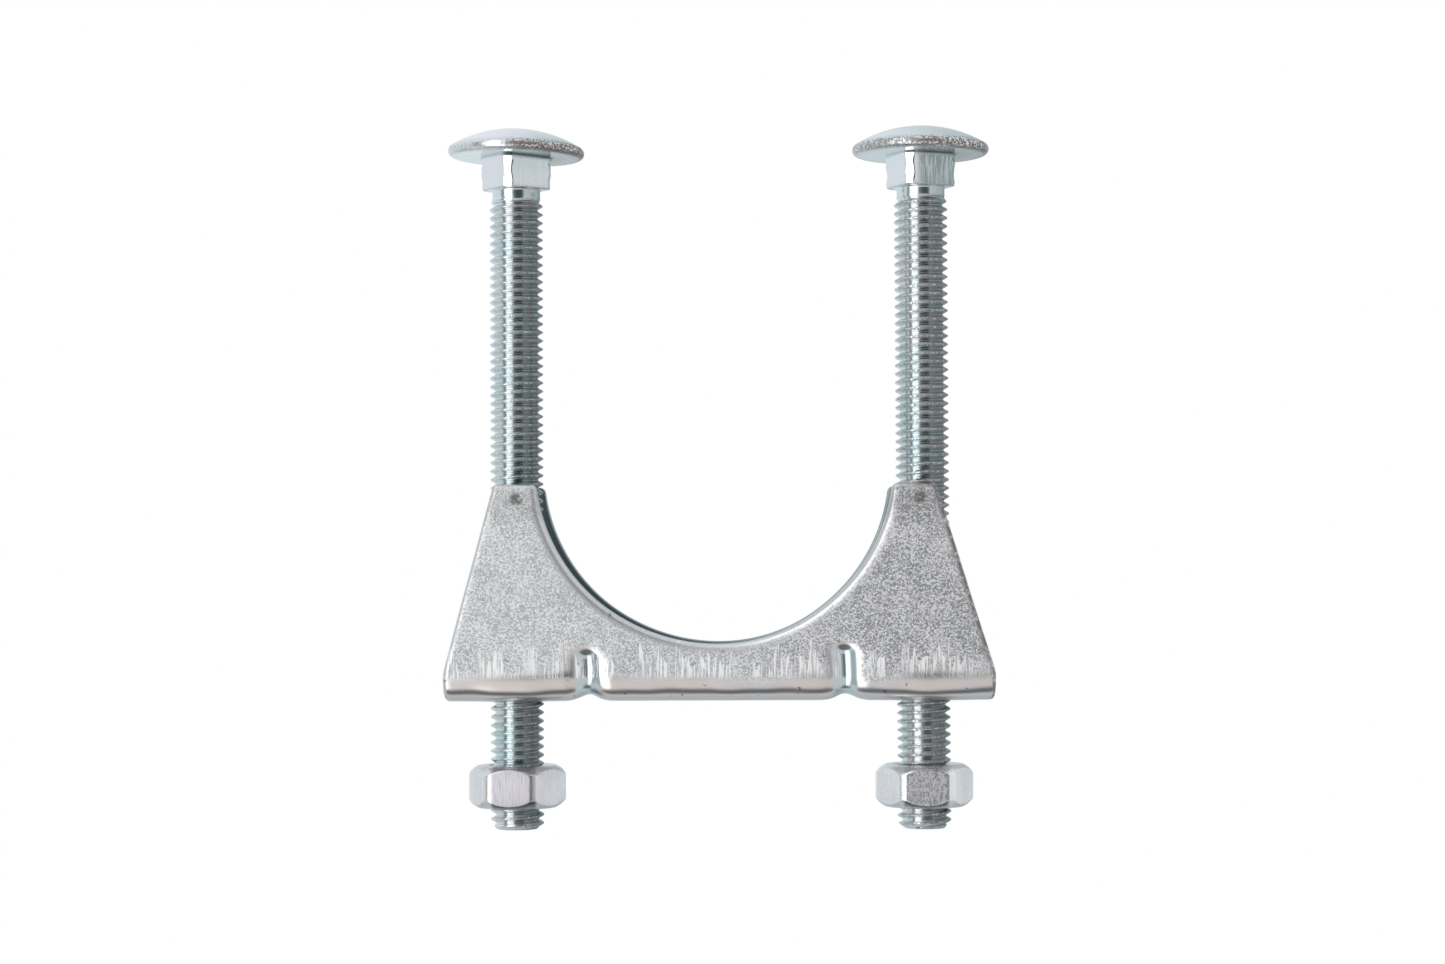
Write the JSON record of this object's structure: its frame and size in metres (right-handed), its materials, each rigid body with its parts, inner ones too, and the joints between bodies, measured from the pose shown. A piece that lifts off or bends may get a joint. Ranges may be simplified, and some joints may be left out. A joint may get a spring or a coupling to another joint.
{
  "type": "pipe saddle clamp",
  "caption": "Zinc-plated pipe clamp: a folded steel saddle with a half-round seat, drawn up on long carriage bolts by hex nuts.",
  "frame": {"origin": "centre of the half-round pipe seat, midway between the front and back walls of the saddle", "axes": "+Y along the pipe, +Z from the seat towards the bolt heads, +X across the clamp from the left bolt to the right bolt"},
  "size_m": [0.0802, 0.0202, 0.1037],
  "materials": {
    "saddle_zinc": "zinc-plated pressed sheet steel, matte with a fine sparkling grain, bright rolled edges, die scratches along the folds",
    "bolt_zinc": "bright zinc-plated cold-headed and thread-rolled steel with a faint blue tint, brown scuffs on the head's rim",
    "nut_zinc": "satin zinc-plated steel, paler than the bolts, scratched flats"
  },
  "bodies": {
    "saddle": {"saddle": "saddle_zinc"},
    "left_bolt": {"carriage_bolt_left": "bolt_zinc"},
    "left_nut": {"hex_nut_left": "nut_zinc"},
    "right_bolt": {"carriage_bolt_right": "bolt_zinc"},
    "right_nut": {"hex_nut_right": "nut_zinc"}
  },
  "joints": [
    {"name": "left_bolt_slide", "type": "slide", "parent": "saddle", "child": "left_bolt", "axis": [0, 0, 1], "range_m": [-0.04857, 0.00319]},
    {"name": "left_nut_turn", "type": "hinge", "parent": "saddle", "child": "left_nut", "pos_m": [-0.03, 0, -0.047], "axis": [0, 0, 1], "range_deg": [-920, 13990]},
    {"name": "right_bolt_slide", "type": "slide", "parent": "saddle", "child": "right_bolt", "axis": [0, 0, 1], "range_m": [-0.04857, 0.00319]},
    {"name": "right_nut_turn", "type": "hinge", "parent": "saddle", "child": "right_nut", "pos_m": [0.03, 0, -0.047], "axis": [0, 0, 1], "range_deg": [-920, 13990]}
  ],
  "couplings": [
    {"joint": "left_nut_turn", "follows": "left_bolt_slide", "rad_per_m": -5026.5},
    {"joint": "right_nut_turn", "follows": "right_bolt_slide", "rad_per_m": -5026.5}
  ]
}
